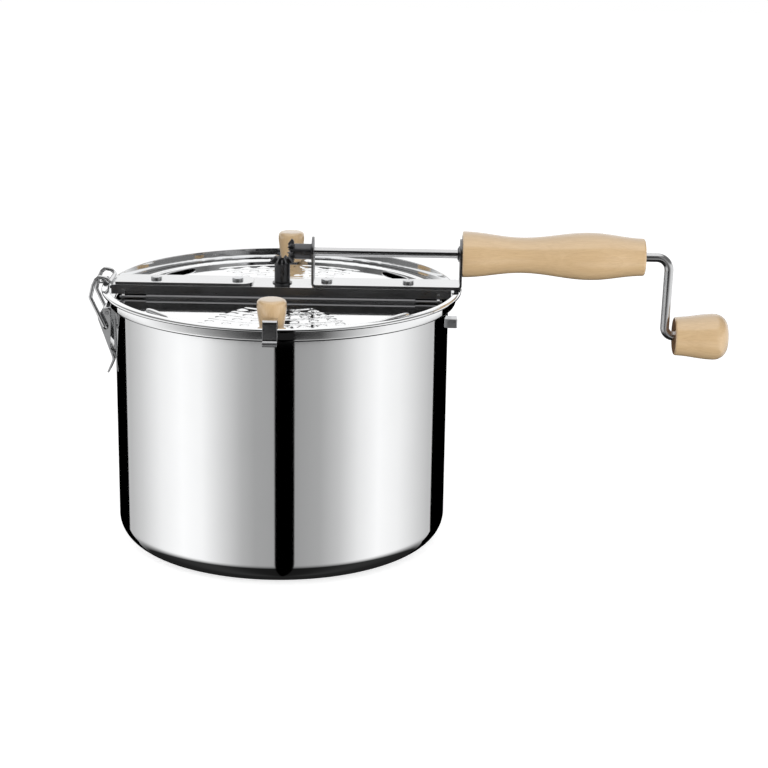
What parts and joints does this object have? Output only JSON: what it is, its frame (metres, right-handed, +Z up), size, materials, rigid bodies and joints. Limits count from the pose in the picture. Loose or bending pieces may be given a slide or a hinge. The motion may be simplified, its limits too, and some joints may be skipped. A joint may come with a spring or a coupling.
{
  "type": "stovetop popcorn popper",
  "caption": "Steel stovetop pot with hinged half-moon flaps, a toggle latch and a hand crank that turns a wire stirrer through bevel gears.",
  "frame": {"origin": "centre of the flat face of the base plate, on the stirrer's axis", "axes": "+Z up along the stirrer shaft, +X along the crank shaft towards the handle, +Y towards the back flap"},
  "size_m": [0.4262, 0.252, 0.2124],
  "materials": {
    "polished_steel": "mirror polished",
    "satin_steel": "satin",
    "dark_steel": "dark oxide",
    "gear_steel": "oiled black oxide",
    "rod_steel": "drawn bar",
    "pale_wood": "clear lacquer"
  },
  "bodies": {
    "pot": {"pot_shell": "polished_steel", "rim_ring": "polished_steel", "base_plate": "satin_steel", "side_lug": "dark_steel", "latch_base": "satin_steel", "latch_base_rivets": "satin_steel", "latch_pin": "satin_steel", "bridge": "satin_steel", "tongue_catch": "satin_steel", "latch_strip": "polished_steel", "crank_bracket": "polished_steel", "bridge_rivets": "satin_steel", "stirrer_bushing": "dark_steel", "handle_grip": "pale_wood", "handle_sleeve": "satin_steel", "front_hinge_rod": "satin_steel", "back_hinge_rod": "satin_steel"},
    "front_flap_set": {"front_flap": "polished_steel", "front_clip": "dark_steel", "front_knob": "pale_wood", "front_knob_screw": "satin_steel"},
    "back_flap_set": {"back_flap": "polished_steel", "back_clip": "dark_steel", "back_knob": "pale_wood", "back_knob_screw": "satin_steel"},
    "crank": {"crank_rod": "rod_steel", "drive_gear": "gear_steel", "drive_gear_pin": "gear_steel", "crank_push_nut": "dark_steel", "crank_knob_nut": "dark_steel"},
    "knob": {"crank_knob": "pale_wood"},
    "stirrer": {"stirrer_shaft": "rod_steel", "driven_gear": "gear_steel", "driven_gear_pin": "gear_steel", "stirrer_retainer": "dark_steel", "stirrer_foot": "satin_steel", "stirrer_wire": "rod_steel"},
    "lever": {"latch_lever": "polished_steel"},
    "bail": {"latch_bail": "rod_steel"}
  },
  "joints": [
    {"name": "crank_spin", "type": "hinge", "parent": "pot", "child": "crank", "pos_m": [0, 0, 0.1966], "axis": [1, 0, 0], "continuous": true},
    {"name": "stirrer_spin", "type": "hinge", "parent": "pot", "child": "stirrer", "pos_m": [0, 0, 0.1], "axis": [0, 0, 1], "continuous": true},
    {"name": "knob_spin", "type": "hinge", "parent": "crank", "child": "knob", "pos_m": [0.28, 0, 0.143], "axis": [1, 0, 0], "continuous": true},
    {"name": "front_flap_hinge", "type": "hinge", "parent": "pot", "child": "front_flap_set", "pos_m": [0, -0.016, 0.1671], "axis": [-1, 0, 0], "range_deg": [0, 80]},
    {"name": "back_flap_hinge", "type": "hinge", "parent": "pot", "child": "back_flap_set", "pos_m": [0, 0.016, 0.1671], "axis": [1, 0, 0], "range_deg": [0, 80]},
    {"name": "latch_lever_hinge", "type": "hinge", "parent": "pot", "child": "lever", "pos_m": [-0.1165, 0, 0.1545], "axis": [0, 1, 0], "range_deg": [0, 115]},
    {"name": "latch_bail_hinge", "type": "hinge", "parent": "lever", "child": "bail", "pos_m": [-0.117, 0, 0.1448], "axis": [0, 1, 0], "range_deg": [-81, 0]}
  ],
  "couplings": [
    {"joint": "stirrer_spin", "follows": "crank_spin", "ratio": 1},
    {"joint": "latch_bail_hinge", "follows": "latch_lever_hinge", "ratio": -0.7}
  ]
}
